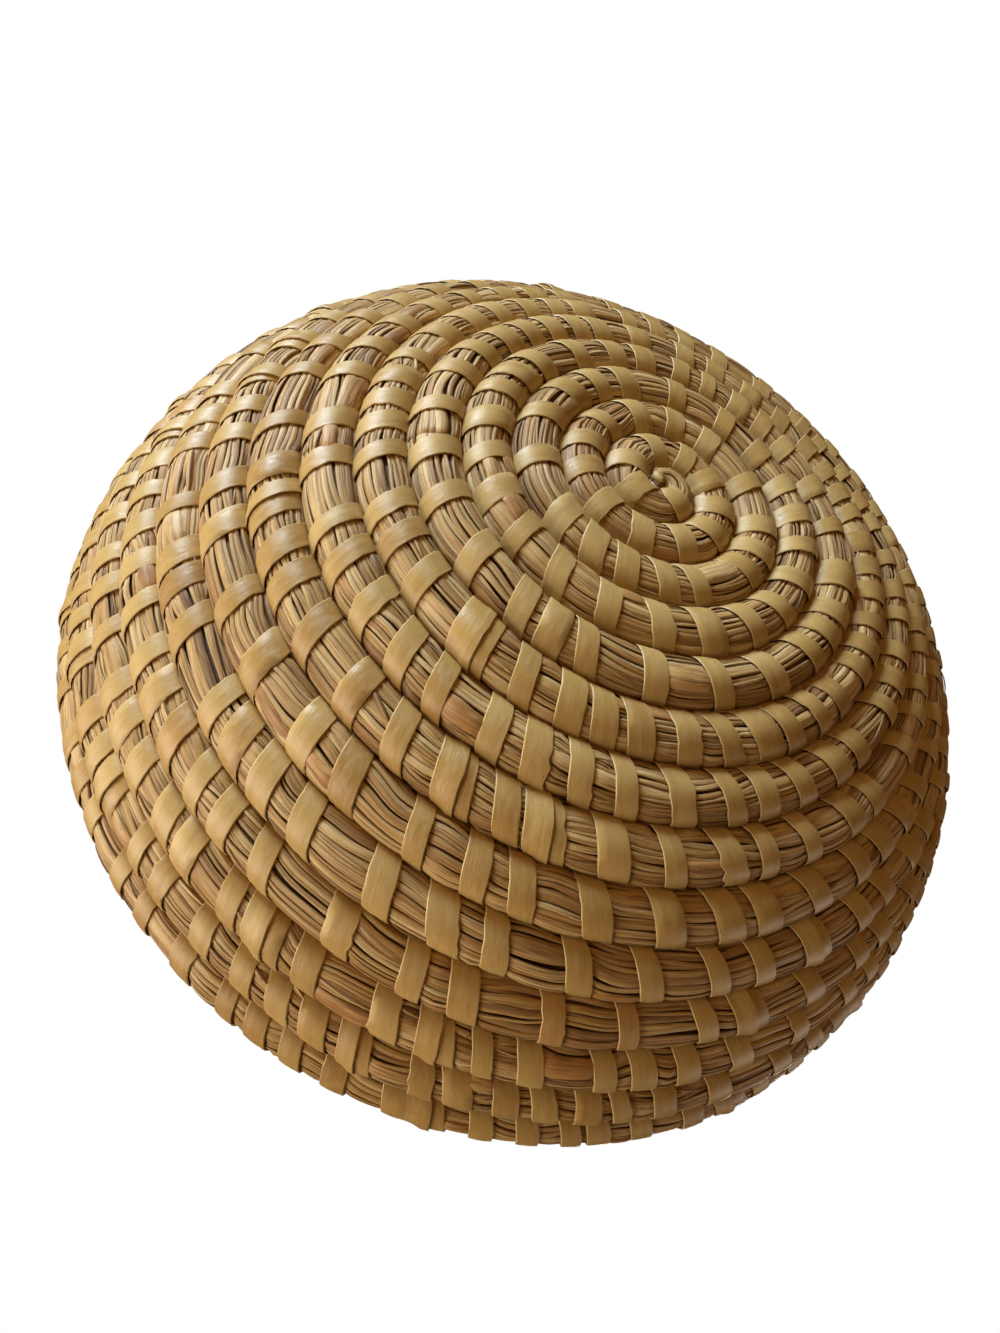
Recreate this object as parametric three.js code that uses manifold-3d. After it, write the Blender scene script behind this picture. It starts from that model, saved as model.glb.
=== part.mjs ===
// Coiled basket bowl, in millimetres, +Z up, standing on its flat base with the open mouth upwards.
// The origin is the middle of the base, on the surface that the bowl stands on.
//
// One long bundle of dry grass stems starts as a tight curl in the middle of the base and winds outwards
// and upwards, row against row, to the rim. Flat strips of split leaf are lashed round the bundle, one
// strip after another, and hold each row to the row before it.
import * as THREE from 'three';
import { mergeVertices } from 'three/addons/utils/BufferGeometryUtils.js';
import Module from 'manifold-3d';

// Driving dimensions
const rowPitch = 10.6; // from one row of the coil to the next on the base, measured along the wall
const turns = 13.95; // rows from the middle of the base to the rim
const evenTurns = 4; // the rows up to here are all as wide
const rowGrowth = 0.0136; // each row after them is wider by this share of the first ones' width
const baseRadius = 29; // the flat disc, to the middle of the coil
const bowRadius = 94.3; // the bow of the wall in profile, to the middle of the coil
const bundleDepth = 9.8; // thickness of the bundle, square to the wall
const stripThickness = 0.4; // split leaf, wrap beside wrap round the bundle
const stripTurns = 5 / 12; // how much of a row one strip is long enough to bind
const stripClearance = 0.3; // strip to bundle
const rowClearance = 0.3; // between the strips of two rows that lie side by side
const endClearance = 0.3; // from the end of one strip to the start of the next
const floorClearance = 0.3; // strips are drawn only where they pass this far above the floor
const startTurn = 0.2; // the curl in the middle starts this far from the axis
const startAzimuth = 0.6; // the way in which the coil's count of turns starts, as a share of a turn from +X
const curlFill = 0.6; // half width of the bundle in the curl, as a share of the distance to the axis
const tailTurns = 0.2; // the bundle thins out over this much of the last row
const tailTip = 0.35; // thickness left at the very end, as a share of the full bundle

// Fineness of the model
const stationsPerTurn = 24;
const gapSamples = 4; // measured places between two stations, for the printed gaps

// Derived sizes
const halfDepth = bundleDepth / 2;
const wrapReach = stripClearance + stripThickness;
const rowLean = rowPitch / bowRadius; // how far one row leans against the next on the wall
const foldAllowance = ((halfDepth + wrapReach) / 2) * rowLean;
const bundleWidth = rowPitch - 2 * wrapReach - rowClearance - foldAllowance;
const halfWidth = bundleWidth / 2;
const standCut = bundleDepth / 10; // the base rows are worn flat by this much where they stand
const coilHeight = halfDepth - standCut; // middle of the coil above the floor, on the flat disc
const stationCount = Math.round((turns - startTurn) * stationsPerTurn);
const stationsPerStrip = Math.round(stripTurns * stationsPerTurn);

// The wall in profile: a flat disc, then one arc. Gives the middle of the coil at a distance
// measured outwards along the profile, and how far the wall has turned up there.
function profileAt(distance) {
  if (distance <= baseRadius) {
    return { radius: distance, height: coilHeight, lean: 0 };
  }
  const lean = (distance - baseRadius) / bowRadius;
  return {
    radius: baseRadius + bowRadius * Math.sin(lean),
    height: coilHeight + bowRadius * (1 - Math.cos(lean)),
    lean,
  };
}

// Distance of the coil from the axis at a turn, measured outwards along the profile.
function distanceAt(turn) {
  const grown = Math.max(turn - evenTurns, 0);
  return rowPitch * (turn + (rowGrowth / 2) * grown * grown);
}

// Width of a row at a turn, as a share of the first rows' width.
function spreadAt(turn) {
  return 1 + rowGrowth * Math.max(turn - evenTurns, 0);
}

// Share of the full bundle at a turn: thin in the curl and at the tail.
function fullnessAt(turn) {
  const curl = Math.min(1, (curlFill * rowPitch * turn) / halfWidth);
  const intoTail = THREE.MathUtils.smoothstep(turn, turns - tailTurns, turns);
  return Math.min(curl, 1 - (1 - tailTip) * intoTail);
}

// Stations are counted outwards from the curl, and the last one is the end of the tail.
function turnAt(index) {
  return turns - (stationCount - index) / stationsPerTurn;
}

// A station of the coil: its middle, the way along the wall, the way out of the wall and its size.
// Where the tail thins out it stays down against the row before it.
function stationAt(index) {
  const turn = turnAt(index);
  const fullness = fullnessAt(turn);
  const spread = spreadAt(turn);
  const sunk = turn > 1 ? halfWidth * spread * (1 - fullness) : 0;
  const { radius, height, lean } = profileAt(distanceAt(turn) - sunk);
  const azimuth = 2 * Math.PI * (turn + startAzimuth);
  const outwards = new THREE.Vector3(Math.cos(azimuth), Math.sin(azimuth), 0);
  const up = new THREE.Vector3(0, 0, 1);
  return {
    middle: outwards.clone().multiplyScalar(radius).addScaledVector(up, height),
    alongWall: outwards.clone().multiplyScalar(Math.cos(lean)).addScaledVector(up, Math.sin(lean)),
    outOfWall: outwards.clone().multiplyScalar(Math.sin(lean)).addScaledVector(up, -Math.cos(lean)),
    fullness,
    spread,
  };
}

// The six corners of the bundle's outline, moved out by an offset, as [along the wall, out of the wall].
// Corner 1 is the ridge on the outside of the bowl and corner 4 the ridge inside it; the sides
// between corners 2 and 3 and between corners 5 and 0 face the neighbouring rows.
function outline(offset) {
  const slant = Math.hypot(halfDepth / 2, halfWidth);
  const side = halfWidth + offset;
  const ridge = halfDepth + (offset * slant) / halfWidth;
  const shoulder = halfDepth / 2 + (offset * (slant - halfDepth / 2)) / halfWidth;
  return [
    [side, shoulder],
    [0, ridge],
    [-side, shoulder],
    [-side, -shoulder],
    [0, -ridge],
    [side, -shoulder],
  ];
}

function placed(station, [along, out]) {
  return station.middle
    .clone()
    .addScaledVector(station.alongWall, along * station.fullness * station.spread)
    .addScaledVector(station.outOfWall, out * station.fullness);
}

// Triangles between one ring of points and the next, each ring running anticlockwise as seen from
// the ring after it.
function facesBetween(ring, nextRing, size) {
  const index = [];
  for (let side = 0; side < size; side += 1) {
    const nextSide = (side + 1) % size;
    const here = ring * size + side;
    const beside = ring * size + nextSide;
    const ahead = nextRing * size + side;
    const aheadBeside = nextRing * size + nextSide;
    index.push(here, beside, aheadBeside, here, aheadBeside, ahead);
  }
  return index;
}

function meshed(rings, index) {
  const positions = rings.flatMap((ring) => ring.flatMap((point) => point.toArray()));
  const geometry = new THREE.BufferGeometry();
  geometry.setAttribute('position', new THREE.Float32BufferAttribute(positions, 3));
  geometry.setIndex(index);
  return geometry;
}

// A solid tube through rings of points, closed at both ends.
function tube(rings) {
  const size = rings[0].length;
  const index = [];
  for (let ring = 0; ring + 1 < rings.length; ring += 1) {
    index.push(...facesBetween(ring, ring + 1, size));
  }
  const last = (rings.length - 1) * size;
  for (let side = 1; side + 1 < size; side += 1) {
    index.push(0, side + 1, side);
    index.push(last, last + side, last + side + 1);
  }
  return meshed(rings, index);
}

// A hollow sleeve, open at both ends: its faces go along the outside and back along the inside.
function sleeve(outerRings, innerRings) {
  const rings = [...outerRings, ...innerRings.toReversed()];
  const index = rings.flatMap((points, ring) => facesBetween(ring, (ring + 1) % rings.length, points.length));
  return meshed(rings, index);
}

// Least gap of a tube to itself, measured from point to point between places that lie more than
// half a turn apart along it, on rings that are filled in between the modelled ones.
function leastGap(rings, ringsPerTurn) {
  const filled = [];
  for (let ring = 0; ring + 1 < rings.length; ring += 1) {
    for (let sample = 0; sample < gapSamples; sample += 1) {
      const share = sample / gapSamples;
      filled.push(
        rings[ring].flatMap((point, side) => {
          const here = point.clone().lerp(rings[ring + 1][side], share);
          const nextSide = (side + 1) % rings[ring].length;
          const beside = rings[ring][nextSide].clone().lerp(rings[ring + 1][nextSide], share);
          return [here, here.clone().lerp(beside, 0.5)];
        }),
      );
    }
  }
  const turn = ringsPerTurn * gapSamples;
  let least = Infinity;
  for (let first = 0; first < filled.length; first += 1) {
    const end = Math.min(filled.length, first + 2 * turn);
    for (let second = first + Math.ceil(turn / 2); second < end; second += 1) {
      for (const a of filled[first]) {
        for (const b of filled[second]) {
          least = Math.min(least, a.distanceToSquared(b));
        }
      }
    }
  }
  return Math.sqrt(least);
}

const wasm = await Module();
wasm.setup();

function toSolid(geometry) {
  const bare = geometry.clone();
  bare.deleteAttribute('normal');
  bare.deleteAttribute('uv');
  const merged = mergeVertices(bare);
  return new wasm.Manifold(
    new wasm.Mesh({
      numProp: 3,
      vertProperties: new Float32Array(merged.attributes.position.array),
      triVerts: new Uint32Array(merged.index.array),
    }),
  );
}

function toGeometry(solid) {
  const mesh = solid.getMesh();
  const geometry = new THREE.BufferGeometry();
  const positions = new Float32Array(mesh.vertProperties);
  geometry.setAttribute('position', new THREE.BufferAttribute(positions, mesh.numProp));
  geometry.setIndex(new THREE.BufferAttribute(new Uint32Array(mesh.triVerts), 1));
  return geometry;
}

// Everything below the floor, to trim what stands on it.
function belowFloor(geometry) {
  geometry.computeBoundingBox();
  const size = geometry.boundingBox.getSize(new THREE.Vector3()).addScalar(2 * bundleDepth);
  const slab = new THREE.BoxGeometry(size.x, size.y, bundleDepth);
  slab.translate(0, 0, -bundleDepth / 2);
  return slab;
}

const bundleMaterial = new THREE.MeshStandardMaterial({ color: 0xa9793f, roughness: 0.72, metalness: 0 });
const stripMaterial = new THREE.MeshStandardMaterial({ color: 0xc9b184, roughness: 0.5, metalness: 0 });

// The foundation: one unbroken bundle from the curl to the tail.
function foundationRings() {
  const rings = [];
  for (let index = 0; index <= stationCount; index += 1) {
    const station = stationAt(index);
    rings.push(outline(0).map((corner) => placed(station, corner)));
  }
  return rings;
}

function foundationCoil() {
  const rings = foundationRings();
  console.log(`foundation coil: least gap to itself ${leastGap(rings, stationsPerTurn).toFixed(2)} mm`);
  const coil = tube(rings);
  const geometry = toGeometry(toSolid(coil).subtract(toSolid(belowFloor(coil))));
  const mesh = new THREE.Mesh(geometry, bundleMaterial);
  mesh.name = 'foundation_coil';
  return mesh;
}

// Rings round the bundle at an offset, along the stretch that one strip binds. The first and the last
// ring lie on straight pieces of the bundle, half the end clearance in from the stations there.
function stripRings(firstStation, offset) {
  const lastStation = firstStation + stationsPerStrip;
  const ringBetween = (index, distance) => {
    const near = stationAt(index);
    const far = stationAt(index + 1);
    const share = distance / near.middle.distanceTo(far.middle);
    return outline(offset).map((corner) => placed(near, corner).lerp(placed(far, corner), share));
  };
  const rings = [ringBetween(firstStation, endClearance / 2)];
  for (let index = firstStation + 1; index < lastStation; index += 1) {
    rings.push(outline(offset).map((corner) => placed(stationAt(index), corner)));
  }
  const lastStride = stationAt(lastStation - 1).middle.distanceTo(stationAt(lastStation).middle);
  rings.push(ringBetween(lastStation - 1, lastStride - endClearance / 2));
  return rings;
}

// The lashing that one strip makes, wrap beside wrap: a sleeve round the bundle.
function bindingStrip(number, firstStation) {
  const geometry = sleeve(stripRings(firstStation, wrapReach), stripRings(firstStation, stripClearance));
  const mesh = new THREE.Mesh(geometry, stripMaterial);
  mesh.name = `binding_strip_${String(number).padStart(2, '0')}`;
  return mesh;
}

// The first station where the bundle has risen enough for a strip to pass below it, clear of the floor.
function firstBoundStation() {
  const lowest = outline(wrapReach)[1][1] + floorClearance;
  let index = 0;
  while (stationAt(index).middle.z < lowest) {
    index += 1;
  }
  return index;
}

const bowl = new THREE.Group();
bowl.add(foundationCoil());
const lastBoundStation = stationCount - tailTurns * stationsPerTurn;
let firstStation = firstBoundStation();
console.log(`the strips start at turn ${turnAt(firstStation).toFixed(3)}`);
for (let number = 1; firstStation + stationsPerStrip <= lastBoundStation; number += 1) {
  bowl.add(bindingStrip(number, firstStation));
  firstStation += stationsPerStrip;
}

export default bowl;
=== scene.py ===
import bpy
import numpy as np
from mathutils import Matrix, Vector


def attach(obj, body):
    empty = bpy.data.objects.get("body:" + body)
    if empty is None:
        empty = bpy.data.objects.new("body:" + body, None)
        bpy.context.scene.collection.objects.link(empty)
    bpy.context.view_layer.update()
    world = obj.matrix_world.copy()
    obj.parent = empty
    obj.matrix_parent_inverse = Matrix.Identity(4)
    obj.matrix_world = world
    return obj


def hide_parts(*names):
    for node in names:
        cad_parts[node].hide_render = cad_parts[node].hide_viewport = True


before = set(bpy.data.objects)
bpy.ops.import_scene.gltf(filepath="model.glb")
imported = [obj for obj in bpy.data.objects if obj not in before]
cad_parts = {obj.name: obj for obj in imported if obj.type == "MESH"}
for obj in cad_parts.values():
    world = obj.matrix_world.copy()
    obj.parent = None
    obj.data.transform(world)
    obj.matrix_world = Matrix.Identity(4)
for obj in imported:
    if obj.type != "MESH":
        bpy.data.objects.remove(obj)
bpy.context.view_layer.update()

mm = 0.001


# The view: the bowl is seen from below and from close by, with the flat of its base turned
# to the camera, a little to one side.
camera_place = Vector((71.4, 125.5, -109.7)) * mm
view_direction = Vector((-0.3130, -0.4872, 0.8153))
view_up = Vector((-0.8307, -0.2757, -0.4836))
sensor_width = 36.0
lens_share = 0.8  # focal length, as a share of the picture's width
nearest_seen = 10 * mm
farthest_seen = 20.0

back = -view_direction.normalized()
right = view_up.cross(back).normalized()
camera_turn = Matrix((right, back.cross(right), back)).transposed().to_4x4()
camera = bpy.data.objects.new("camera", bpy.data.cameras.new("camera"))
camera.data.sensor_fit = "HORIZONTAL"
camera.data.sensor_width = sensor_width
camera.data.lens = lens_share * sensor_width
camera.data.clip_start = nearest_seen
camera.data.clip_end = farthest_seen
camera.matrix_world = Matrix.Translation(camera_place) @ camera_turn
bpy.context.scene.collection.objects.link(camera)
bpy.context.scene.camera = camera


# The heart of the foundation: the stems in the middle of the long bundle, which show only as
# ridges where the outer stems part, dark from the real shadow there and from a painted shade.
# The bundle starts as a tight curl in the middle of the base, winds outwards row against row,
# bows up into the wall and thins out into a tail.
row_pitch = 10.6 * mm  # from one row to the next on the base, along the wall
turns = 13.95
even_turns = 4  # the rows up to here are all as wide
row_growth = 0.0136  # each row after them is wider by this share of the first ones' width
start_azimuth = 0.6  # where the count of turns starts, as a share of a turn
first_turn = -0.45
base_radius = 29 * mm  # the flat disc, to the middle of the bundle
bow_radius = 94.3 * mm  # the bow of the wall, to the middle of the bundle
skin_depth = 5.35 * mm  # from the middle of the bundle to the outside of the strips
curl_turns = 0.5  # the bundle grows over this much on each side of its first half row
tail_turns = 0.2
tail_tip = 0.35
tail_pressed = 0.7 * mm  # how deep the thin end is drawn into the groove of the row before it
end_clear = 0.25 * mm  # thin ends settle outwards until their skin lies this much short of the rest
half_width = 5.4 * mm
half_depth = 4.85 * mm
mean_radius = (half_width + half_depth) / 2
squareness = 2.05  # 2 is an ellipse
row_waver = 0.12 * mm  # rows wander by this much
size_waver = 0.035  # and the bundle gets thicker and thinner by this share
wall_spacing = 31 * mm  # how far apart the wandering changes, along the wall,
outward_spacing = 23 * mm  # out of the wall
size_spacing = 17 * mm  # and in thickness
waver_knots = 5000
path_steps = 20000


def smooth(share):
    """A share from 0 to 1 made to start and to end softly: three squares less two cubes of it."""
    return share * share * (3 - 2 * share)


def waver(place, spacing, seed):
    """Smooth random curve: a new value from -1 to 1 at each spacing, eased into the next one."""
    knots = np.random.default_rng(seed).uniform(-1, 1, waver_knots)
    index = np.floor(np.asarray(place) / spacing).astype(int)
    ease = smooth(place / spacing - index)
    return knots[index] * (1 - ease) + knots[index + 1] * ease


def spiral(turn):
    """Distance along the wall from the axis to the middle of the coil: it grows evenly on the base
    and a little faster beyond, and half as fast in the curl, where the bundle tapers."""
    grown = np.maximum(turn - even_turns, 0)
    wound = np.where(turn < curl_turns, (turn + curl_turns) / 2, turn)
    return row_pitch * (wound + row_growth / 2 * grown**2)


def profile(distance):
    """Radius, height and lean of the coil: a flat disc out to base_radius, then one arc, both
    measured along the wall."""
    lean = np.maximum(distance - base_radius, 0) / bow_radius
    radius = np.minimum(distance, base_radius) + bow_radius * np.sin(lean)
    return radius, skin_depth + bow_radius * (1 - np.cos(lean)), lean


def fullness(turn):
    """Share of the full bundle: it grows evenly in the curl, and eases down to tail_tip over the
    last tail_turns."""
    curl = np.minimum(1, turn + curl_turns)
    thinned = smooth(np.clip((turn - turns + tail_turns) / tail_turns, 0, 1))
    return np.minimum(curl, 1 - (1 - tail_tip) * thinned)


def lengths_along(path):
    """Length of a path of points from its start to each of them."""
    return np.concatenate(((0,), np.cumsum(np.linalg.norm(np.diff(path, axis=0), axis=1))))


fine_turns = np.linspace(first_turn, turns, path_steps)
fine_radius, fine_height, _ = profile(spiral(fine_turns))
fine_azimuths = 2 * np.pi * (fine_turns + start_azimuth)
fine_x = fine_radius * np.cos(fine_azimuths)
fine_y = fine_radius * np.sin(fine_azimuths)
fine_lengths = lengths_along(np.stack((fine_x, fine_y, fine_height), -1))
coil_length = fine_lengths[-1]


def coil_at(length):
    """Frame of the coil at a length along it: its middle, the way along the wall to the next row,
    longer where the rows are wider, the way out of the wall, its size and its radius from the
    axis. The middle lies at the profile's radius and height, a full circle on for each turn,
    anticlockwise, and wanders a little."""
    turn = np.interp(length, fine_lengths, fine_turns)
    full = fullness(turn)
    spread = 1 + row_growth * np.maximum(turn - even_turns, 0)
    sunk = np.where(turn > 1, (half_width * spread + tail_pressed) * (1 - full), 0)
    radius, height, lean = profile(spiral(turn) - sunk)
    azimuth = 2 * np.pi * (turn + start_azimuth)
    out = np.stack((np.cos(azimuth), np.sin(azimuth), np.zeros_like(azimuth)), -1)
    up = np.array((0, 0, 1.0))
    cosine, sine = np.cos(lean)[..., None], np.sin(lean)[..., None]
    along_wall = out * cosine + up * sine
    out_of_wall = out * sine - up * cosine
    aside = row_waver * waver(length, wall_spacing, 1)
    outward = row_waver * waver(length, outward_spacing, 2) * (lean > 0)
    outward = outward + (skin_depth - end_clear) * (1 - full)
    middle = out * radius[..., None] + up * height[..., None]
    middle = middle + along_wall * aside[..., None] + out_of_wall * outward[..., None]
    full = full * (1 + size_waver * waver(length, size_spacing, 3))
    return middle, along_wall * spread[..., None], out_of_wall, full, radius


def signed_power(value, power):
    """The size of a value raised to a power, with the value's sign."""
    return np.sign(value) * np.abs(value) ** power


def section(angle, width, depth):
    """Outline of the bundle, a squared ellipse: the point at an angle from the side of the next
    row, the outside of the bowl being at a quarter turn, and the way straight out there."""
    cosine, sine = np.cos(angle), np.sin(angle)
    x = width * signed_power(cosine, 2 / squareness)
    y = depth * signed_power(sine, 2 / squareness)
    nx = signed_power(cosine, 2 - 2 / squareness) / width
    ny = signed_power(sine, 2 - 2 / squareness) / depth
    size = np.hypot(nx, ny)
    return x, y, nx / size, ny / size


def on_bundle(length, angle, rise, shift=0.0):
    """Point at a length along the coil and an angle round it, raised off the bundle's outline by
    rise and moved sideways along the outline by shift."""
    middle, along_wall, out_of_wall, full, _ = coil_at(length)
    x, y, nx, ny = section(angle, half_width, half_depth)
    x = (x + nx * rise - ny * shift) * full
    y = (y + ny * rise + nx * shift) * full
    return middle + along_wall * x[..., None] + out_of_wall * y[..., None]


def strands(name, rings, along, across, tone, finish):
    """Mesh of closed strands through rings of points, an array of (strand, ring, corner, xyz).
    Each quad joins two corners of a ring to the same two of the next, and each end has a flat
    cap. The UV map counts centimetres along the strand, and its places across as given."""
    count, steps, corners = rings.shape[:3]
    index = np.arange(count * steps * corners).reshape(count, steps, corners)
    beside = np.roll(index, -1, 2)
    quads = np.stack((index[:, :-1], beside[:, :-1], beside[:, 1:], index[:, 1:]), -1)
    caps = np.stack((index[:, 0, ::-1], index[:, -1]), 1)
    here = np.broadcast_to(along[:, :, None] * 100, index.shape)
    start = np.broadcast_to(across[:-1], index.shape)
    end = np.broadcast_to(across[1:], index.shape)
    u = np.stack((here[:, :-1], here[:, :-1], here[:, 1:], here[:, 1:]), -1)
    v = np.stack((start[:, :-1], end[:, :-1], end[:, 1:], start[:, 1:]), -1)
    cap_u = np.stack((here[:, 0, ::-1], here[:, -1]), 1)
    cap_v = np.stack((start[:, 0, ::-1], start[:, -1]), 1)
    all_u = np.concatenate((u.ravel(), cap_u.ravel()))
    all_v = np.concatenate((v.ravel(), cap_v.ravel()))
    sizes = np.concatenate((np.full(quads.size // 4, 4), np.full(caps.size // corners, corners)))
    loops = np.concatenate((quads.ravel(), caps.ravel()))
    uv = np.stack((all_u, all_v), -1).astype(np.float32)
    tones = np.broadcast_to(tone[:, :, None], index.shape).astype(np.float32)
    mesh = bpy.data.meshes.new(name)
    mesh.vertices.add(index.size)
    mesh.vertices.foreach_set("co", rings.astype(np.float32).ravel())
    mesh.loops.add(len(loops))
    mesh.loops.foreach_set("vertex_index", loops.astype(np.int32))
    mesh.polygons.add(len(sizes))
    mesh.polygons.foreach_set("loop_start", (np.cumsum(sizes) - sizes).astype(np.int32))
    mesh.uv_layers.new(name="strand").data.foreach_set("uv", uv.ravel())
    mesh.attributes.new("tone", "FLOAT", "POINT").data.foreach_set("value", tones.ravel())
    mesh.shade_smooth()
    mesh.update(calc_edges=True)
    mesh.materials.append(finish)
    piece = bpy.data.objects.new(name, mesh)
    bpy.context.scene.collection.objects.link(piece)
    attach(piece, "root")
    return piece


class Value:
    """A socket of a material. Sums and products with it add the Math nodes that they need."""

    def __init__(self, recipe, socket):
        self.recipe = recipe
        self.socket = socket

    def worked_out(self, operation, first, second):
        return self.recipe.node("ShaderNodeMath", {"operation": operation}, {0: first, 1: second})

    def __add__(self, other):
        return self.worked_out("ADD", self, other)

    def __sub__(self, other):
        return self.worked_out("SUBTRACT", self, other)

    def __rsub__(self, other):
        return self.worked_out("SUBTRACT", other, self)

    def __mul__(self, other):
        return self.worked_out("MULTIPLY", self, other)

    __radd__ = __add__
    __rmul__ = __mul__


class Recipe:
    """The nodes of one material, or of the world."""

    def __init__(self, owner):
        owner.use_nodes = True
        owner.node_tree.nodes.clear()
        self.owner = owner

    def node(self, kind, settings=None, sockets=None, output=0):
        """Adds a node: first its settings, where stops are a ramp's places and colours, then its
        sockets, each a number, a colour or a Value. Gives the output asked for, or each of a
        tuple of them."""
        made = self.owner.node_tree.nodes.new(kind)
        for key, setting in (settings or {}).items():
            if key == "stops":
                elements = made.color_ramp.elements
                while len(elements) < len(setting):
                    elements.new(1.0)
                for element, (place, tint) in zip(elements, setting):
                    element.position = place
                    element.color = tint
            else:
                setattr(made, key, setting)
        for key, value in (sockets or {}).items():
            if isinstance(value, Value):
                self.owner.node_tree.links.new(value.socket, made.inputs[key])
            else:
                made.inputs[key].default_value = value
        if isinstance(output, tuple):
            return [Value(self, made.outputs[one]) for one in output]
        return Value(self, made.outputs[output]) if made.outputs else None

    def mix(self, share, first, second, blend="MIX"):
        """Colour between two colours, or one colour laid over the other by a blend mode."""
        settings = {"data_type": "RGBA", "blend_type": blend}
        return self.node("ShaderNodeMix", settings, {0: share, 6: first, 7: second}, 2)

    def ranged(self, value, low, high, start=0.0, end=1.0):
        """A value's stretch from low to high, spread over start to end and held there."""
        sockets = {0: value, 1: low, 2: high, 3: start, 4: end}
        return self.node("ShaderNodeMapRange", {}, sockets)

    def strand(self):
        """Places along and across a strand, and the tone that it was given."""
        places = self.node("ShaderNodeUVMap", {"uv_map": "strand"})
        along, across = self.node("ShaderNodeSeparateXYZ", {}, {0: places}, (0, 1))
        return along, across, self.node("ShaderNodeAttribute", {"attribute_name": "tone"}, {}, 2)

    def grain(self, along, across, tone, detail=2.0, roughness=0.5):
        """Noise over three places, each scaled to how fast the grain changes that way."""
        place = self.node("ShaderNodeCombineXYZ", {}, {0: along, 1: across, 2: tone})
        sockets = {"Vector": place, "Scale": 1.0, "Detail": detail, "Roughness": roughness}
        return self.node("ShaderNodeTexNoise", {}, sockets)

    def finish(self, sockets):
        """Closes the material with a Principled surface and gives it."""
        shader = self.node("ShaderNodeBsdfPrincipled", {}, sockets)
        self.node("ShaderNodeOutputMaterial", {}, {"Surface": shader})
        return self.owner


def colour(red, green, blue):
    """A colour as it looks on screen, from 0 to 255, made linear."""
    share = np.array((red, green, blue)) / 255
    linear = np.where(share <= 0.04045, share / 12.92, ((share + 0.055) / 1.055) ** 2.4)
    return (*linear.tolist(), 1.0)


def stem_finish(name, shade):
    """Dry stems: each has its own tone, from pale straw to brown, with streaks along it, a few
    dark specks and a painted shade on its sides where it meets the next one. The crown of a stem
    is a third of the way across its map. Every colour is multiplied by the given shade, a painted
    shade for stems that lie deep, which white leaves as it is."""
    recipe = Recipe(bpy.data.materials.new(name))
    along, across, tone = recipe.strand()
    stops = (
        (0.00, colour(108, 76, 46)),
        (0.16, colour(150, 112, 66)),
        (0.36, colour(188, 148, 88)),
        (0.56, colour(210, 173, 110)),
        (0.74, colour(226, 198, 142)),
        (0.88, colour(198, 152, 90)),
        (1.00, colour(162, 114, 64)),
    )
    aged = recipe.node("ShaderNodeValToRGB", {"stops": stops}, {"Fac": tone})
    streaks = recipe.grain(along * 0.9, across * 13.0, tone * 90.0, 4.0, 0.62)
    fibres = recipe.grain(along * 2.5, across * 55.0, tone * 70.0)
    patches = recipe.grain(along * 0.55, across * 1.5, tone * 40.0)
    specks = recipe.grain(along * 9.0, across * 22.0, tone * 30.0, 1.0)
    off_crown = across - 1 / 3
    streaked = recipe.ranged(streaks, 0.46, 0.66, 0.0, 0.75)
    bleached = recipe.ranged(fibres, 0.5, 0.8, 0.0, 0.4)
    browned = recipe.ranged(patches, 0.5, 0.75, 0.0, 0.45)
    speckled = recipe.ranged(specks, 0.71, 0.78, 0.0, 0.75)
    # painted shade on each stem's sides, away from its crown, where it meets the next stem
    shadowed = recipe.ranged(off_crown * off_crown, 0.03, 0.075, 0.0, 0.55)
    aged = recipe.mix(streaked, aged, colour(132, 86, 44), "MULTIPLY")
    aged = recipe.mix(bleached, aged, colour(246, 226, 178))
    aged = recipe.mix(browned, aged, colour(168, 118, 60))
    aged = recipe.mix(speckled, aged, colour(84, 50, 26))
    # the painted shade between stems
    aged = recipe.mix(shadowed, aged, colour(92, 60, 34))
    # painted shade for stems that lie deep, multiplied over every colour; white for the outer stems
    aged = recipe.mix(1.0, aged, shade, "MULTIPLY")
    height = streaks * 0.6 + fibres * 0.4
    relief = {"Strength": 0.8, "Distance": 0.25 * mm, "Height": height}
    return recipe.finish({
        "Base Color": aged,
        "Roughness": recipe.ranged(streaks, 0.3, 0.7, 0.38, 0.62),
        "Normal": recipe.node("ShaderNodeBump", {}, relief),
    })


heart_stems = 11
heart_corners = 22
heart_sunk = 0.9 * mm  # below the outline of the bundle
heart_ridge = 0.28 * mm
heart_twist = 5  # its ridges wander to and fro by this part of a wave, in radians
heart_twist_spacing = 40 * mm
heart_tone_spacing = 25 * mm
heart_sides = 0.85 * mm  # less sunk where it lies against the next row
side_power = 6  # the higher, the narrower the sides where a row lies against the next
heart_step = 3.2 * mm

heart_lengths = np.linspace(0, coil_length, int(coil_length / heart_step))
heart_angles = np.linspace(0, 2 * np.pi, heart_corners, endpoint=False)
grid_length, grid_angle = np.meshgrid(heart_lengths, heart_angles, indexing="ij")
heart_wave = heart_stems * grid_angle + heart_twist * waver(grid_length, heart_twist_spacing, 11)
heart_rise = heart_ridge * np.cos(heart_wave) - heart_sunk
heart_rise = heart_rise + heart_sides * np.cos(grid_angle) ** side_power
heart = strands(
    "foundation_heart",
    on_bundle(grid_length, grid_angle, heart_rise)[None],
    heart_lengths[None],
    np.linspace(0, heart_stems / 2, heart_corners + 1),
    0.5 + 0.4 * waver(heart_lengths, heart_tone_spacing, 12)[None],
    # a painted shade darkens the heart stems, which lie deep in the bundle
    stem_finish("heart_stems", colour(178, 154, 126)),
)
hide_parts("foundation_coil")


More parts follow.
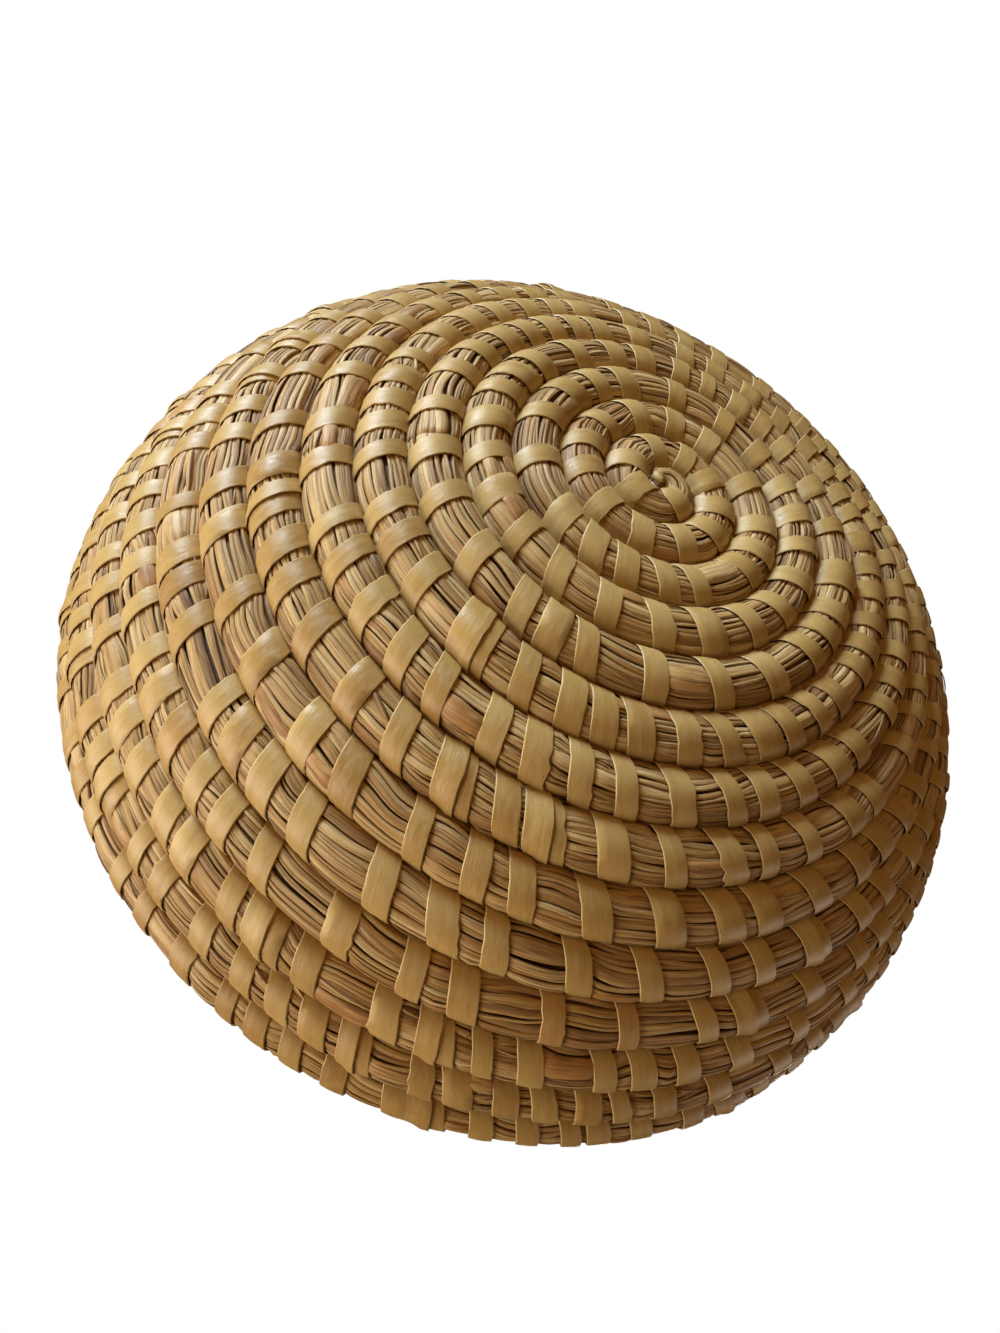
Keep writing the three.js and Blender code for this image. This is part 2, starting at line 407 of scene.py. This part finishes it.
# The places of the wraps. A strip goes over the bundle about every 11 mm, mostly beside a wrap of
# the row before it, and one more is put in where the rows have grown too long. They squeeze the
# stems below them, so they are placed first.
strip_width = 4.75 * mm
strip_width_spread = 0.5 * mm
narrowest_strip = 3.8 * mm
broadest_strip = 6.1 * mm
first_wrap_turn = -0.2
last_wrap_turn = 13.935
first_matched_turn = 2  # from here on the wraps lie beside those of the row before
closest_wrap = 0.62  # of the usual spacing: a wrap follows the last one by this at the least
widest_gap = 1.42  # of the usual spacing: a wider gap gets one more wrap
wrap_stray = 0.07  # of the usual spacing
wrap_slant = 0.5  # of the usual spacing, which a wrap moves along while it crosses the outside
wrap_slant_spread = 0.08
edge_angle = np.radians(30)  # past the sides, the wrap turns and moves on to the next one
doubled_share = 0.07  # of the wraps have a second one lapped on them
first_doubled_turn = 4.0  # but none does on the rows before this
lap = 2.7 * mm
shortest_lap = 0.8  # of the usual one
longest_lap = 1.25
spacing_turns = (0, 1.5, 3, 4.5, 7.5, 10, 14.6)  # on these turns the wraps are
spacings = np.array((6.0, 8.6, 11.0, 9.6, 12.6, 12.2, 10.9)) * mm  # so far apart as a rule


def wrap_spacing(turn):
    """Usual distance between wraps on a row, by straight lines from one turn to the next that is
    given: they are closest in the curl and on the lower wall."""
    return np.interp(turn, spacing_turns, spacings)


def lay_wraps(chance):
    """Lengths along the coil of all wraps, and which of them lap on the one before. A wrap lies a
    full turn on from one of the row before, or else the usual spacing on from the last."""
    placed = [first_wrap_turn]
    while placed[-1] < last_wrap_turn:
        last = placed[-1]
        usual = wrap_spacing(last) / (2 * np.pi * float(profile(spiral(last))[0]))
        beside = [turn + 1 for turn in placed if turn + 1 > last + closest_wrap * usual]
        gap = beside[0] - last if beside and last > first_matched_turn else usual
        if gap > widest_gap * usual:
            gap /= 2
        placed.append(last + gap + chance.normal(0, wrap_stray) * usual)
    lengths = np.interp(placed, fine_turns, fine_lengths)
    doubled = (chance.random(len(lengths)) < doubled_share) & (np.array(placed) > first_doubled_turn)
    laps = lengths[doubled] + lap * chance.uniform(shortest_lap, longest_lap, doubled.sum())
    everything = np.concatenate((lengths, laps))
    on_top = np.concatenate((np.zeros(len(lengths), bool), np.ones(len(laps), bool)))
    order = np.argsort(everything)
    return everything[order], on_top[order]


wrap_chance = np.random.default_rng(21)
wraps, lapped = lay_wraps(wrap_chance)
wrap_turns = np.interp(wraps, fine_lengths, fine_turns)
slants = wrap_chance.normal(wrap_slant, wrap_slant_spread, len(wraps)) * wrap_spacing(wrap_turns)
widths = wrap_chance.normal(strip_width, strip_width_spread, len(wraps))
widths = np.clip(widths, narrowest_strip, broadest_strip)


def unwound(angle):
    """The same place on the bundle as an angle from -edge_angle to a full turn more."""
    return np.where(angle > 2 * np.pi - edge_angle, angle - 2 * np.pi, angle)


def crossing(wrap, angle):
    """Length along the coil where a wrap passes an angle from -edge_angle to a full turn more. It
    slants evenly over the outside, and past the other side it eases over to the next wrap."""
    following = np.minimum(wrap + 1, len(wraps) - 1)
    ahead = wraps[wrap] + slants[wrap] * (angle / np.pi - 0.5)
    beyond = wraps[following] + slants[following] * (angle / np.pi - 2.5)
    ease = smooth(np.clip((angle - np.pi - edge_angle) / (np.pi - 2 * edge_angle), 0, 1))
    return ahead * (1 - ease) + beyond * ease


# The outer stems of the foundation: some thirty dry grass stems side by side, of very unlike
# widths. Each runs on below a few wraps, bulges between them, and gives way to a new one.
stem_places = 31
stem_step = 1.85 * mm
stem_spread = 0.55  # of the widths, as the natural logarithm's deviation
stem_change = 0.26  # share of the stems that end below a wrap
stem_overlap = 1.22  # each stem is this much wider than its room, so that none gapes
stem_roundness = 0.58  # thickness, as a share of the width
thinnest_stem = 0.24 * mm
thickest_stem = 0.5 * mm
deepest_stem = 0.5 * mm  # how far a stem may lie below the rest
stem_sides = 0.3 * mm  # the stems press against the next row
stem_stray = 0.28  # of the room a stem has, which it strays to the side, as a deviation
bulge_usual = 0.05 * mm  # of each stem between two wraps,
bulge_spread = 0.1 * mm
bulge_together = 0.06 * mm  # and of all of them
bulge_together_spread = 0.12 * mm
squeeze = 0.2 * mm  # how far the strips press the stems in
squeeze_reach = 0.58  # of a strip's width, to each side of its middle line
squeeze_power = 8  # the higher, the sharper the step beside a strip
ease_reach = 3  # steps to each side over which a stem changes into the next one
ease_deviation = 1.3
stem_corners = np.radians((-100, -48, 0, 48, 100, 180))  # from the crown
stem_flatness = 0.72  # 1 is an ellipse, less is squarer
stem_pieces = 8

# Each stem has a number in the table of kinds, which has a row for each place round the bundle
# and a column for each gap between two wraps. Most are middling in tone, and few lie deep.
stem_chance = np.random.default_rng(33)
gap_count = len(wraps) + 1
changes = stem_chance.random((stem_places, gap_count)) < stem_change
changes[:, 0] = True
kinds = np.cumsum(changes.ravel()).reshape(changes.shape) - 1
kind_count = kinds.max() + 1
kind_width = np.exp(stem_chance.normal(0, stem_spread, kind_count))
kind_tone = stem_chance.beta(3.0, 2.5, kind_count)
kind_sunk = stem_chance.beta(1.2, 3.4, kind_count) * deepest_stem
bulges = stem_chance.normal(bulge_usual, bulge_spread, kinds.shape)
bulges = bulges + stem_chance.normal(bulge_together, bulge_together_spread, gap_count)
strays = stem_chance.normal(0, stem_stray, kinds.shape) * 2 * np.pi / stem_places

# The gap that each step of each stem lies in, and how far on in it, from 0 at one wrap to 1 at
# the next.
stem_lengths = np.linspace(0, coil_length, int(coil_length / stem_step))
place_angles = 2 * np.pi * (np.arange(stem_places) + 0.5) / stem_places
path_angles = unwound(place_angles)
crossings = crossing(np.arange(len(wraps))[None, :], path_angles[:, None])
window = np.stack([np.searchsorted(row, stem_lengths) for row in crossings])
wrap_before = np.clip(window - 1, 0, None)
wrap_after = np.clip(window, None, len(wraps) - 1)
before = crossing(wrap_before, path_angles[:, None])
after = crossing(wrap_after, path_angles[:, None])
between = np.clip((stem_lengths - before) / np.maximum(after - before, 1e-6), 0, 1)
stray_from = np.take_along_axis(strays, wrap_before, 1)
stray_to = np.take_along_axis(strays, window, 1)
bulge = np.take_along_axis(bulges, window, 1) * np.sin(np.pi * between)
kind_here = np.take_along_axis(kinds, window, 1)

ease_steps = np.arange(-ease_reach, ease_reach + 1)
ease_weights = np.exp(-0.5 * (ease_steps / ease_deviation) ** 2)
ease_weights /= ease_weights.sum()


def eased(values):
    """Each row of values averaged with its neighbours along the coil, weighted by a bell curve."""
    padded = np.pad(values, ((0, 0), (ease_reach, ease_reach)), mode="edge")
    return sum(padded[:, k : k + values.shape[1]] * weight for k, weight in enumerate(ease_weights))


# The stems share out the way round the bundle by their widths, and the strips press them in
# where they really cross them.
stem_share = eased(kind_width[kind_here])
stem_share /= stem_share.sum(0)
stem_ends = np.cumsum(stem_share, 0)
stem_angle = 2 * np.pi * (stem_ends - stem_share / 2)
stem_angle = stem_angle + stray_from * (1 - between) + stray_to * between
true_path = stem_angle + (path_angles - place_angles)[:, None]
from_before = np.abs(stem_lengths - crossing(wrap_before, true_path))
to_after = np.abs(crossing(wrap_after, true_path) - stem_lengths)
nearest = np.minimum(from_before, to_after)
squeezed = 1 / (1 + (nearest / (squeeze_reach * strip_width)) ** squeeze_power)
stem_half = stem_overlap * np.pi * stem_share * half_depth
stem_thick = np.clip(stem_roundness * stem_half, thinnest_stem, thickest_stem)
stem_rise = bulge * (1 - squeezed) - squeeze * squeezed - eased(kind_sunk[kind_here])
stem_rise += stem_sides * np.cos(stem_angle) ** side_power * (1 - squeezed)
corner_up = signed_power(np.cos(stem_corners), stem_flatness)
corner_side = signed_power(np.sin(stem_corners), stem_flatness)
stem_rings = on_bundle(
    stem_lengths[None, :, None],
    stem_angle[..., None],
    (stem_rise - stem_thick)[..., None] + stem_thick[..., None] * corner_up,
    stem_half[..., None] * corner_side,
)
stem_along = np.broadcast_to(stem_lengths, kind_here.shape)
stem_tone = kind_tone[kind_here]
stem_material = stem_finish("grass_stems", colour(255, 255, 255))
piece_ends = np.linspace(0, len(stem_lengths) - 1, stem_pieces + 1).astype(int)
for number, (first, last) in enumerate(zip(piece_ends[:-1], piece_ends[1:]), 1):
    stems = strands(
        f"foundation_stems_{number}",
        stem_rings[:, first : last + 1],
        stem_along[:, first : last + 1],
        np.linspace(0, 1, len(stem_corners) + 1),
        stem_tone[:, first : last + 1],
        stem_material,
    )


# Splinters of stem, thin and broken off, that lie across the others between two wraps, at a
# slant. The strips hold both ends down.
splinter_count = 1300
splinter_steps = 7
splinter_corners = 4
splinter_dip = 0.8 * mm  # how far the ends go down below the strips
splinter_held = 0.36  # of a strip's width from its middle line, where the ends lie
splinter_room = 3 * mm  # none lies in a shorter gap
splinter_turn = 0.16  # radians round the bundle from end to end, as a deviation
splinter_point = 0.55  # thickness of the ends, as a share of the middle's
thinnest_splinter = 0.12 * mm  # from the middle to the outside
thickest_splinter = 0.28 * mm
broadest_splinter = 2.4  # times its thickness
lowest_splinter = -0.1 * mm
highest_splinter = 0.3 * mm
splinter_across = 0.4  # the part of a stem's map that it shows

splinter_chance = np.random.default_rng(47)
splinter_wrap = splinter_chance.integers(0, len(wraps) - 2, splinter_count)
splinter_from = splinter_chance.uniform(0, 2 * np.pi, splinter_count)
splinter_turned = splinter_chance.normal(0, splinter_turn, splinter_count)
splinter_thick = splinter_chance.uniform(thinnest_splinter, thickest_splinter, splinter_count)
splinter_broad = splinter_chance.uniform(1.0, broadest_splinter, splinter_count)
splinter_rise = splinter_chance.uniform(lowest_splinter, highest_splinter, splinter_count)
splinter_tone = splinter_chance.beta(3, 1.8, splinter_count)


def laid_between(wrap, angle, turned, held, steps):
    """Lengths along the coil and angles round it of pieces that lie from one wrap to the next, by
    even steps, and turn while they go; and how high they arch there, from 0 at the ends to 1."""
    share = np.linspace(0, 1, steps)
    start = crossing(wrap, unwound(angle)) + held * widths[wrap]
    end = crossing(wrap + 1, unwound(angle)) - held * widths[wrap + 1]
    length = start[:, None] + (end - start)[:, None] * share
    return length, angle[:, None] + turned[:, None] * (share - 0.5), np.sin(np.pi * share)


splinter_length, splinter_angle, splinter_arch = laid_between(
    splinter_wrap, splinter_from, splinter_turned, splinter_held, splinter_steps
)
splinter_fits = splinter_length[:, -1] - splinter_length[:, 0] > splinter_room
splinter_lift = splinter_rise[:, None] - splinter_dip * (1 - splinter_arch) ** 2
splinter_size = splinter_thick[:, None] * (splinter_point + (1 - splinter_point) * splinter_arch)
corner_angle = 2 * np.pi * np.arange(splinter_corners) / splinter_corners
splinter_rings = on_bundle(
    splinter_length[..., None],
    splinter_angle[..., None],
    splinter_lift[..., None] + splinter_size[..., None] * np.cos(corner_angle),
    splinter_size[..., None] * splinter_broad[:, None, None] * np.sin(corner_angle),
)
splinters = strands(
    "foundation_splinters",
    splinter_rings[splinter_fits],
    splinter_length[splinter_fits],
    np.linspace(0, splinter_across, splinter_corners + 1),
    np.broadcast_to(splinter_tone[:, None], splinter_length.shape)[splinter_fits],
    stem_material,
)


# Broad blades of grass that lie flat on the stems between two wraps here and there, smooth and
# redder than the stems. Their ends are held below the strips.
blade_count = 420
blade_steps = 11
blade_thickness = 0.26 * mm
blade_dip = 0.75 * mm  # how far the ends go down below the strips
blade_held = 0.3  # of a strip's width from its middle line, where the ends lie
blade_room = 6.5 * mm  # none lies in a shorter gap
blade_turn = 0.1  # radians round the bundle from end to end, as a deviation
narrowest_blade = 0.9 * mm  # from the middle line to the edge
broadest_blade = 2.6 * mm
lowest_blade = 0.12 * mm
highest_blade = 0.32 * mm
palest_blade = 0.8  # in the tones of the stems, whose last ones are the reddest
reddest_blade = 0.96
blade_raggedness = 0.14  # share of its width by which a blade's edges wander
blade_rag_spacing = 3 * mm
blade_across = np.array((-1, -0.92, -0.5, 0, 0.5, 0.92, 1, 0))
blade_height = np.array((-0.9, -0.2, 0.8, 1, 0.8, -0.2, -0.9, -0.4)) * blade_thickness
blade_map = np.array((0.11, 0.14, 0.2, 0.33, 0.46, 0.52, 0.55, 0.6, 0.65))  # keeps to a stem's crown

blade_chance = np.random.default_rng(58)
blade_wrap = blade_chance.integers(0, len(wraps) - 2, blade_count)
blade_from = blade_chance.uniform(0, 2 * np.pi, blade_count)
blade_turned = blade_chance.normal(0, blade_turn, blade_count)
blade_half = blade_chance.uniform(narrowest_blade, broadest_blade, blade_count)
blade_rise = blade_chance.uniform(lowest_blade, highest_blade, blade_count)
blade_tone = blade_chance.uniform(palest_blade, reddest_blade, blade_count)

blade_length, blade_angle, blade_arch = laid_between(
    blade_wrap, blade_from, blade_turned, blade_held, blade_steps
)
blade_fits = blade_length[:, -1] - blade_length[:, 0] > blade_room
blade_lift = blade_rise[:, None] - blade_dip * (1 - blade_arch) ** 2
blade_ragged = 1 + blade_raggedness * waver(blade_length, blade_rag_spacing, 59)
blade_reach = (blade_half[:, None] * blade_ragged)[..., None] * blade_across
blade_rings = on_bundle(
    blade_length[..., None],
    blade_angle[..., None] + blade_reach / mean_radius,
    blade_lift[..., None] + blade_height,
)
blades = strands(
    "foundation_blades",
    blade_rings[blade_fits],
    blade_length[blade_fits],
    blade_map,
    np.broadcast_to(blade_tone[:, None], blade_length.shape)[blade_fits],
    stem_material,
)


# The strips of split leaf that lash each row. A strip crosses the outside at a slant, dips into
# the grooves on both sides, and moves on to the next wrap inside the bowl. After a number of
# wraps its end is tucked in and the next strip goes on.
strip_thickness = 0.42 * mm
strip_steps = 24
strip_outside = 15  # of these steps lie on the outside and in the grooves
first_strip_turn = 4.617
turns_per_strip = 10 / 24
strip_count = 21
base_strips = 5
section_across = np.array((-1, -0.93, -0.35, 0.35, 0.93, 1, 0.6, -0.6))
section_height = np.array((0.6, 1.0, 1.18, 1.18, 1.0, 0.6, 0.02, 0.02)) * strip_thickness
section_edge = 0.8  # the corners farther out than this are the strip's edges
strip_lift = 0.12 * mm
strip_slack = 0.1 * mm  # a strip lies looser and tighter by this
slack_spacing = 9 * mm
strip_fill = 0.93  # of the room between two wraps, which a strip takes up at the most inside
inside_start = 0.1  # the sine of the angle past the side at which it starts to,
inside_ramp = 0.6  # and how much more of it until it does in full
groove_narrowing = 0.06  # a strip is narrower by this share where it dips into the grooves
thin_row_base = 0.35  # where the bundle is thin, a strip has this share of its width
thin_row_gain = 0.75  # and this much more for each share of the full bundle,
thin_row_least = 0.5  # but never less than this
tightest_row = 5 * mm  # the smallest radius of a row that a strip's ring is fitted to
least_stretch = 0.7
most_stretch = 1.6
end_steps = 2.5  # the ends of a strip are tucked in over this many steps,
end_tuck = 1.1 * mm  # to this depth
end_narrowing = 0.55  # and by this share narrower
lap_rise = 1.45 * strip_thickness  # a lapped wrap climbs this far onto the one before,
lap_start = 0.3 * mm  # from here on off its middle line
lap_ramp = 0.35 * mm
edge_rag = 0.05 * mm
frayed_share = 0.2  # of the wraps have rougher edges, by frayed_rag
frayed_rag = 3.2
darkest_strip = 0.36
palest_strip = 0.74
wrap_tone_spread = 0.09
sharp_edge = np.radians(38)


def strip_path(members):
    """Angle round the bundle, wrap number and length along the coil of each step of a strip: even
    steps over the outside and wider ones on the inside, wrap after wrap."""
    far_edge = np.pi + edge_angle
    outside = np.linspace(-edge_angle, far_edge, strip_outside, endpoint=False)
    inside = np.linspace(far_edge, 2 * np.pi - edge_angle, strip_steps - strip_outside, endpoint=False)
    angle = np.tile(np.concatenate((outside, inside)), len(members))
    wrap = np.repeat(members, strip_steps)
    return angle, wrap, crossing(wrap, angle)


def strip_rings(members, chance):
    """Rings of a strip. In the unrolled skin of the bundle its middle line runs through
    strip_path, and a ring lies square to that line, so the strip bends over the bundle as a flat
    band does. Its middle is crowned and its edges are thin."""
    angle, wrap, length = strip_path(members)
    _, _, _, full, radius = coil_at(length)
    x, _, _, _ = section(angle, half_width, half_depth)
    run = np.gradient(length)
    turn = np.gradient(np.unwrap(angle)) * mean_radius * full
    size = np.hypot(run, turn)
    stretch = np.clip(1 + x * full / np.maximum(radius, tightest_row), least_stretch, most_stretch)
    room = np.minimum(1, strip_fill * np.gradient(wraps)[wrap] * turn / size / widths[wrap])
    inside = np.clip((-np.sin(angle) - inside_start) / inside_ramp, 0, 1)
    half = widths[wrap] / 2 * (1 + inside * (room - 1))
    half = half * (1 - groove_narrowing + groove_narrowing * np.abs(np.sin(angle)))
    half = half * np.clip(thin_row_base + thin_row_gain * full, thin_row_least, 1)
    steps = np.arange(len(length))
    tucked = np.clip(1 - np.minimum(steps, steps[::-1]) / end_steps, 0, 1)
    half = half * (1 - end_narrowing * tucked)
    frayed = np.repeat(chance.random(len(members)) < frayed_share, strip_steps)[:, None]
    rag = chance.normal(0, edge_rag, (len(length), 2)) * np.where(frayed, frayed_rag, 1)
    offset = section_across[None, :] * half[:, None]
    offset = offset + np.where(section_across > section_edge, rag[:, :1], 0)
    offset = offset + np.where(section_across < -section_edge, rag[:, 1:], 0)
    ring_length = length[:, None] - offset * (turn / size / stretch)[:, None]
    ring_angle = angle[:, None] + offset * (run / size)[:, None] / mean_radius
    on_top = lapped[wrap][:, None] * lap_rise / (1 + np.exp((lap_start - offset) / lap_ramp))
    slack = strip_slack * waver(length, slack_spacing, 55)
    lift = slack + strip_lift - squeeze - end_tuck * tucked
    return on_bundle(ring_length, ring_angle, section_height[None, :] + lift[:, None] + on_top)


def leaf_finish():
    """Split leaf: satin, khaki to straw, with fine veins along the strip, pale edges that are partly
    scraped leaf and partly a painted highlight on the raised rims, and stains here and there. The
    map counts from 0 to 1 across the strip."""
    recipe = Recipe(bpy.data.materials.new("leaf_strip"))
    along, across, tone = recipe.strand()
    stops = (
        (0.0, colour(150, 105, 52)),
        (0.25, colour(176, 135, 73)),
        (0.5, colour(192, 155, 88)),
        (0.75, colour(206, 173, 108)),
        (1.0, colour(186, 133, 69)),
    )
    shown = recipe.node("ShaderNodeValToRGB", {"stops": stops}, {"Fac": tone})
    veins = recipe.grain(along * 0.35, across * 38.0, tone * 60.0, 3.0, 0.6)
    fine = recipe.grain(along * 1.2, across * 130.0, tone * 20.0)
    stains = recipe.grain(along * 0.9, across * 2.2, tone * 33.0, 3.0)
    specks = recipe.grain(along * 11.0, across * 26.0, tone * 50.0, 1.0)
    worn = recipe.grain(along * 5.0, across * 1.5, tone * 80.0, 3.0, 0.7)
    scuffs = recipe.grain(along * 3.2, across * 5.0, tone * 25.0, 4.0, 0.65)
    dents = recipe.grain(along * 2.0, across * 2.6, tone * 45.0)
    middle = (across - 0.5) * 2.0
    # pale rims on both sides of the strip: partly scraped leaf, partly a painted highlight where the
    # raised edges catch the light
    edge = recipe.ranged(middle * middle + (veins - 0.5) * 0.2 + (worn - 0.5) * 0.5, 0.84, 0.98)
    shown = recipe.mix(recipe.ranged(veins, 0.42, 0.7, 0.0, 0.32), shown, colour(150, 120, 70))
    shown = recipe.mix(recipe.ranged(fine, 0.5, 0.75, 0.0, 0.25), shown, colour(236, 220, 172))
    shown = recipe.mix(recipe.ranged(stains, 0.52, 0.75, 0.0, 0.5), shown, colour(168, 128, 76))
    shown = recipe.mix(recipe.ranged(specks, 0.72, 0.78, 0.0, 0.6), shown, colour(104, 72, 40))
    # the pale edge colour, partly a painted highlight
    shown = recipe.mix(edge * 0.5, shown, colour(232, 210, 158))
    shown = recipe.mix(recipe.ranged(scuffs, 0.5, 0.68, 0.0, 0.3), shown, colour(210, 190, 140))
    height = dents * 1.3 + veins * 0.4 + fine * 0.2 + scuffs * 0.12
    relief = {"Strength": 0.5, "Distance": 0.22 * mm, "Height": height}
    return recipe.finish({
        "Base Color": shown,
        "Roughness": recipe.ranged(scuffs, 0.35, 0.65, 0.31, 0.46) + edge * 0.2,
        "Normal": recipe.node("ShaderNodeBump", {}, relief),
    })


leaf_material = leaf_finish()
strip_starts = np.concatenate((
    np.linspace(first_turn, first_strip_turn, base_strips, endpoint=False),
    first_strip_turn + turns_per_strip * np.arange(strip_count + 1),
))
strip_names = (
    [f"base_strip_{k + 1}" for k in range(base_strips)]
    + [f"binding_strip_{k + 1:02d}" for k in range(strip_count)]
    + ["tail_strip"]
)
strip_chance = np.random.default_rng(61)
strip_of_wrap = np.searchsorted(strip_starts, wrap_turns, side="right") - 1
across_strip = np.interp(np.append(section_across, section_across[0]), (-1, 1), (0, 1))
for number, name in enumerate(strip_names):
    members = np.flatnonzero(strip_of_wrap == number)
    rings = strip_rings(members, strip_chance)
    strip_tone = strip_chance.uniform(darkest_strip, palest_strip)
    wrap_tones = strip_tone + strip_chance.normal(0, wrap_tone_spread, len(members))
    strip = strands(
        f"{name}_leaf",
        rings[None],
        lengths_along(rings[:, 2])[None],
        across_strip,
        np.repeat(np.clip(wrap_tones, 0, 1), strip_steps)[None],
        leaf_material,
    )
    strip.data.set_sharp_from_angle(angle=sharp_edge)
    if name.startswith("binding_strip"):
        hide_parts(name)


# The floor and the light: a plain pale floor that shows only from above, so that the bowl can be
# seen and lit from below as well, a white surround and soft lamps.
half_floor = 3.0
floor_near = 0.3  # from the middle: up to here the floor shows in full,
floor_far = 0.75  # and from here on not at all
bowl_middle = Vector((0, 0, 40)) * mm

floor_mesh = bpy.data.meshes.new("floor")
floor_corners = [(x * half_floor, y * half_floor, 0) for x, y in ((-1, -1), (1, -1), (1, 1), (-1, 1))]
floor_mesh.from_pydata(floor_corners, [], [(0, 1, 2, 3)])
floor = bpy.data.objects.new("floor", floor_mesh)
bpy.context.scene.collection.objects.link(floor)

floor_recipe = Recipe(bpy.data.materials.new("pale_floor"))
seen = floor_recipe.node("ShaderNodeLightPath")
underside = floor_recipe.node("ShaderNodeNewGeometry", {}, {}, 6)
pale = floor_recipe.node("ShaderNodeBsdfDiffuse", {}, {"Color": colour(236, 234, 230)})
clear = floor_recipe.node("ShaderNodeBsdfTransparent")
spot = floor_recipe.node("ShaderNodeTexCoord", {}, {}, 3)
apart = floor_recipe.node("ShaderNodeVectorMath", {"operation": "LENGTH"}, {0: spot}, 1)
floor_shown = seen * (1 - underside) * floor_recipe.ranged(apart, floor_near, floor_far, 1.0, 0.0)
floor_surface = floor_recipe.node("ShaderNodeMixShader", {}, {0: floor_shown, 1: clear, 2: pale})
floor_recipe.node("ShaderNodeOutputMaterial", {}, {"Surface": floor_surface})
floor_mesh.materials.append(floor_recipe.owner)

world = bpy.data.worlds.new("surround")
bpy.context.scene.world = world
surround = Recipe(world)
rays = surround.node("ShaderNodeLightPath")
lit = surround.node("ShaderNodeBackground", {}, {"Color": (1.0, 0.58, 0.22, 1), "Strength": 0.1})
white = surround.node("ShaderNodeBackground", {}, {"Color": (1, 1, 1, 1), "Strength": 1.0})
all_round = surround.node("ShaderNodeMixShader", {}, {0: rays, 1: lit, 2: white})
surround.node("ShaderNodeOutputWorld", {}, {"Surface": all_round})


def lamp(name, towards, distance, size, watts, tint):
    """Square area lamp that shines on the bowl's middle from a direction, at a distance."""
    light = bpy.data.lights.new(name, "AREA")
    light.size = size
    light.energy = watts
    light.color = tint
    made = bpy.data.objects.new(name, light)
    bpy.context.scene.collection.objects.link(made)
    away = Vector(towards).normalized()
    made.location = bowl_middle + away * distance
    made.rotation_mode = "QUATERNION"
    made.rotation_quaternion = away.to_track_quat("Z", "Y")


lamp("window", (-0.87, 0.16, -0.47), 1.3, 0.45, 24, (0.74, 0.89, 1.0))
lamp("second_window", (-0.1, 0.99, 0.07), 1.3, 1.0, 18, (1.0, 0.86, 0.7))
lamp("below", (-0.12, -0.15, -0.98), 1.3, 0.8, 1.8, (1.0, 0.5, 0.15))
lamp("overhead", (0.3, -0.5, 1.0), 1.4, 0.7, 15, (1.0, 0.98, 0.95))
lamp("side", (0.9, -0.5, 0.25), 1.6, 0.8, 3.5, (1.0, 0.87, 0.72))

bpy.context.scene.view_settings.view_transform = "Standard"
